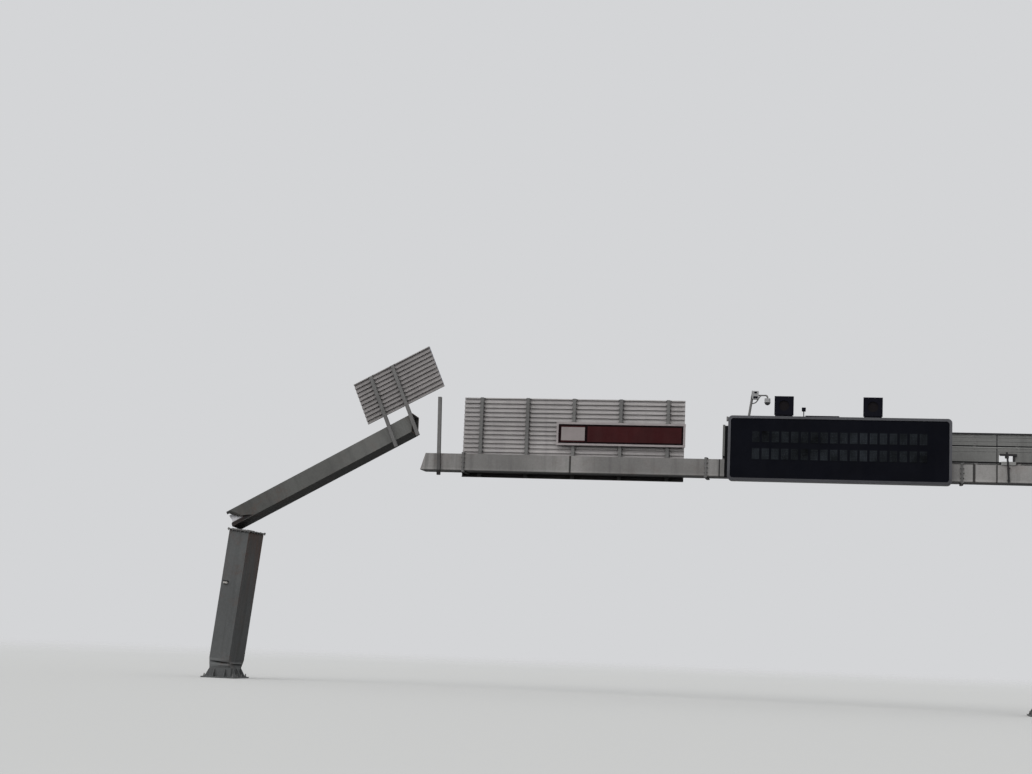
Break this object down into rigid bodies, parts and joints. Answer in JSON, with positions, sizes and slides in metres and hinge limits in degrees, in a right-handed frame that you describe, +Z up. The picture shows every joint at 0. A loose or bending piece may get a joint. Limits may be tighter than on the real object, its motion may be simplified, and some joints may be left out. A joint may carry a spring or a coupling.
{
  "type": "overhead sign gantry",
  "caption": "Steel box-beam sign gantry over a dual carriageway, struck at one leg: message sign, slatted sign backs, tourist board and walkway on the beam, a broken beam end on the leaning leg.",
  "frame": {"origin": "centre of the underside of the right leg's base plate, at ground level", "axes": "+X along the gantry to the picture's right, +Y away from the viewer along the road, +Z up"},
  "size_m": [24.98, 1.5, 10.1528],
  "materials": {
    "galvanised_steel": "matt, weathered",
    "bright_steel": "dull galvanised",
    "sign_aluminium": "mill finish, dulled",
    "sign_face": "reflective sheeting",
    "board_brown": "reflective sheeting",
    "housing_grey": "satin paint",
    "frame_grey": "satin paint",
    "display_black": "matt",
    "lantern_black": "matt",
    "lens_amber": "gloss, unlit",
    "camera_white": "satin",
    "dome_smoke": "gloss, smoked",
    "parapet_grey": "matt, weathered"
  },
  "bodies": {
    "root": {"left_base_plate": "galvanised_steel", "left_base_ribs": "galvanised_steel", "left_leg_stub": "galvanised_steel", "left_leg_fold": "galvanised_steel", "left_leg": "galvanised_steel", "left_leg_flange": "bright_steel", "torn_seat_plate": "bright_steel", "broken_beam": "galvanised_steel", "small_sign_planks": "sign_aluminium", "small_sign_face": "sign_face", "small_sign_posts": "bright_steel", "lone_post": "bright_steel", "beam_stub": "galvanised_steel", "beam_section_left": "galvanised_steel", "beam_section_middle": "galvanised_steel", "beam_section_right": "galvanised_steel", "beam_flanges_left": "bright_steel", "beam_flanges_right": "bright_steel", "beam_end_cap": "galvanised_steel", "large_sign_posts": "bright_steel", "large_sign_planks": "sign_aluminium", "large_sign_face": "sign_face", "board_rails": "bright_steel", "board_frame": "sign_aluminium", "board_panel": "board_brown", "message_sign_posts": "bright_steel", "message_sign_housing": "housing_grey", "message_sign_frame": "frame_grey", "message_sign_display": "display_black", "message_sign_doors": "housing_grey", "lantern_boxes": "lantern_black", "lantern_lenses": "lens_amber", "light_sensor": "housing_grey", "cable_tray": "lantern_black", "camera_pole": "bright_steel", "camera_hood": "camera_white", "camera_dome": "dome_smoke", "walkway_bearers": "bright_steel", "walkway_floor": "bright_steel", "parapet_posts": "bright_steel", "parapet_lower_panel": "parapet_grey", "parapet_upper_panel": "parapet_grey", "walkway_end_panels": "parapet_grey", "right_leg_lower": "galvanised_steel", "right_leg_upper": "galvanised_steel", "right_leg_flanges": "bright_steel", "right_base_plate": "galvanised_steel", "right_base_ribs": "galvanised_steel"}
  },
  "joints": []
}
